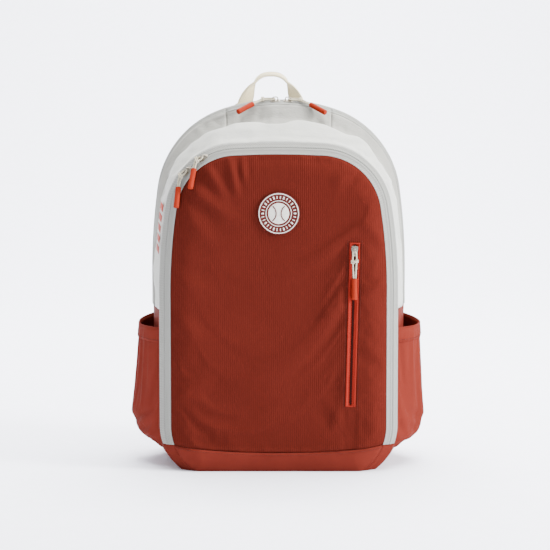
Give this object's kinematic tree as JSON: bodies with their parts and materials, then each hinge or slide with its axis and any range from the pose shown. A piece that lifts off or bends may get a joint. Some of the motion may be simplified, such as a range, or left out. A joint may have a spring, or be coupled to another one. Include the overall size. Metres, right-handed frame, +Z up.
{
  "type": "racket backpack",
  "caption": "Two-compartment racket backpack with a fold-down front panel, side pockets, a haul loop and padded straps.",
  "frame": {"origin": "on the floor under the middle of the bag's box", "axes": "+Z up the bag, -Y its front, +X to the right of a viewer who faces its front"},
  "size_m": [0.384, 0.2123, 0.5202],
  "materials": {
    "terracotta_twill": "matte",
    "terracotta_coated": "satin",
    "off_white_nylon": "satin",
    "light_grey_tape": "matte",
    "light_grey_coil": "satin",
    "orange_red_tape": "matte",
    "terracotta_coil": "satin",
    "cream_webbing": "matte",
    "cream_cord": "matte",
    "orange_sleeve": "matte",
    "nickel": "satin",
    "badge_print": "matte",
    "grey_lining": "matte",
    "spacer_mesh": "matte",
    "foam": "matte",
    "board": "matte",
    "grey_webbing": "matte",
    "grey_plastic": "satin"
  },
  "bodies": {
    "bag": {"base_panel": "terracotta_coated", "side_panel_left": "terracotta_coated", "side_panel_right": "terracotta_coated", "front_gusset": "off_white_nylon", "mid_gusset_left": "off_white_nylon", "mid_gusset_right": "off_white_nylon", "main_tape_front": "light_grey_tape", "main_tape_rear": "light_grey_tape", "main_coil": "light_grey_coil", "rear_gusset": "off_white_nylon", "divider": "grey_lining", "base_board": "board", "back_foam": "foam", "back_board": "board", "front_band": "terracotta_coated", "front_tape_outer": "light_grey_tape", "front_coil_outer": "light_grey_coil", "side_pocket_left": "terracotta_coated", "side_pocket_right": "terracotta_coated", "pocket_hem_left": "terracotta_coated", "pocket_hem_right": "terracotta_coated", "back_panel": "off_white_nylon", "back_pad_left": "spacer_mesh", "back_pad_right": "spacer_mesh", "lumbar_pad": "spacer_mesh", "strap_yoke": "off_white_nylon", "strap_anchor_left": "terracotta_coated", "strap_anchor_right": "terracotta_coated", "strap_web_left": "grey_webbing", "strap_web_right": "grey_webbing"},
    "flap": {"front_panel": "terracotta_twill", "front_tape_inner": "light_grey_tape", "front_coil_inner": "light_grey_coil", "pocket_zip_tape": "orange_red_tape", "pocket_zip_coil": "terracotta_coil", "pocket_bag": "grey_lining", "badge": "badge_print"},
    "mouth": {"mouth_gusset": "off_white_nylon", "mouth_tape": "light_grey_tape"},
    "handle": {"haul_handle": "cream_webbing"},
    "strap_left": {"strap_pad_left": "spacer_mesh"},
    "strap_right": {"strap_pad_right": "spacer_mesh"},
    "lock_left": {"ladder_lock_left": "grey_plastic"},
    "lock_right": {"ladder_lock_right": "grey_plastic"},
    "slider_pocket": {"slider_pocket": "nickel"},
    "puller_pocket": {"cord_pocket": "cream_cord", "sleeve_pocket": "orange_sleeve"},
    "slider_front_upper": {"slider_front_upper": "nickel"},
    "puller_front_upper": {"cord_front_upper": "cream_cord", "sleeve_front_upper": "orange_sleeve"},
    "slider_front_lower": {"slider_front_lower": "nickel"},
    "puller_front_lower": {"cord_front_lower": "cream_cord", "sleeve_front_lower": "orange_sleeve"},
    "slider_main_left": {"slider_main_left": "nickel"},
    "puller_main_left": {"cord_main_left": "cream_cord", "sleeve_main_left": "orange_sleeve"},
    "slider_main_right": {"slider_main_right": "nickel"},
    "puller_main_right": {"cord_main_right": "cream_cord", "sleeve_main_right": "orange_sleeve"}
  },
  "joints": [
    {"name": "flap_fold", "type": "hinge", "parent": "bag", "child": "flap", "pos_m": [0, -0.099, 0.03715], "axis": [1, 0, 0], "range_deg": [0, 90]},
    {"name": "mouth_fold", "type": "hinge", "parent": "bag", "child": "mouth", "pos_m": [0, -0.024, 0.447], "axis": [1, 0, 0], "range_deg": [0, 30]},
    {"name": "pocket_slider_travel", "type": "slide", "parent": "flap", "child": "slider_pocket", "axis": [-0.0244, 0, -0.9997], "range_m": [0, 0.187]},
    {"name": "front_upper_travel", "type": "hinge", "parent": "flap", "child": "slider_front_upper", "pos_m": [-0.05334, -0.0815, 0.3326], "axis": [0, 1, 0], "range_deg": [0, 26]},
    {"name": "front_lower_travel", "type": "hinge", "parent": "flap", "child": "slider_front_lower", "pos_m": [-0.05334, -0.0815, 0.3326], "axis": [0, 1, 0], "range_deg": [-22, 0]},
    {"name": "main_left_travel", "type": "hinge", "parent": "mouth", "child": "slider_main_left", "pos_m": [0, 0.012, 0.25097], "axis": [0, 1, 0], "range_deg": [-14, 0]},
    {"name": "main_right_travel", "type": "hinge", "parent": "mouth", "child": "slider_main_right", "pos_m": [0, 0.012, 0.25097], "axis": [0, 1, 0], "range_deg": [0, 12]},
    {"name": "puller_pocket_swing", "type": "hinge", "parent": "slider_pocket", "child": "puller_pocket", "pos_m": [0.09678, -0.1027, 0.289], "axis": [0.9997, 0, -0.0244], "range_deg": [-150, 0]},
    {"name": "puller_front_upper_swing", "type": "hinge", "parent": "slider_front_upper", "child": "puller_front_upper", "pos_m": [-0.09719, -0.08448, 0.40854], "axis": [-0.403, 0.592, 0.698], "range_deg": [0, 110]},
    {"name": "puller_front_lower_swing", "type": "hinge", "parent": "slider_front_lower", "child": "puller_front_lower", "pos_m": [-0.11799, -0.08448, 0.39185], "axis": [-0.5942, 0.592, 0.5445], "range_deg": [0, 110]},
    {"name": "puller_main_left_swing", "type": "hinge", "parent": "slider_main_left", "child": "puller_main_left", "pos_m": [-0.00448, 0.01061, 0.48439], "axis": [-0.0072, 0.9272, 0.3745], "range_deg": [0, 110]},
    {"name": "puller_main_right_swing", "type": "hinge", "parent": "slider_main_right", "child": "puller_main_right", "pos_m": [0.01263, 0.01061, 0.48409], "axis": [-0.0203, -0.9272, -0.3741], "range_deg": [0, 110]},
    {"name": "handle_swing", "type": "hinge", "parent": "bag", "child": "handle", "pos_m": [-0.01, 0.077, 0.476], "axis": [1, 0, 0], "range_deg": [-55, 45]},
    {"name": "strap_left_swing", "type": "hinge", "parent": "bag", "child": "strap_left", "pos_m": [-0.048, 0.1, 0.432], "axis": [1, 0, 0], "range_deg": [0, 12], "deforming": ["strap_web_left"]},
    {"name": "lock_left_tilt", "type": "hinge", "parent": "strap_left", "child": "lock_left", "pos_m": [-0.104, 0.1, 0.1495], "axis": [1, 0, 0], "range_deg": [0, 20]},
    {"name": "strap_right_swing", "type": "hinge", "parent": "bag", "child": "strap_right", "pos_m": [0.048, 0.1, 0.432], "axis": [1, 0, 0], "range_deg": [0, 12], "deforming": ["strap_web_right"]},
    {"name": "lock_right_tilt", "type": "hinge", "parent": "strap_right", "child": "lock_right", "pos_m": [0.104, 0.1, 0.1495], "axis": [1, 0, 0], "range_deg": [0, 20]}
  ]
}
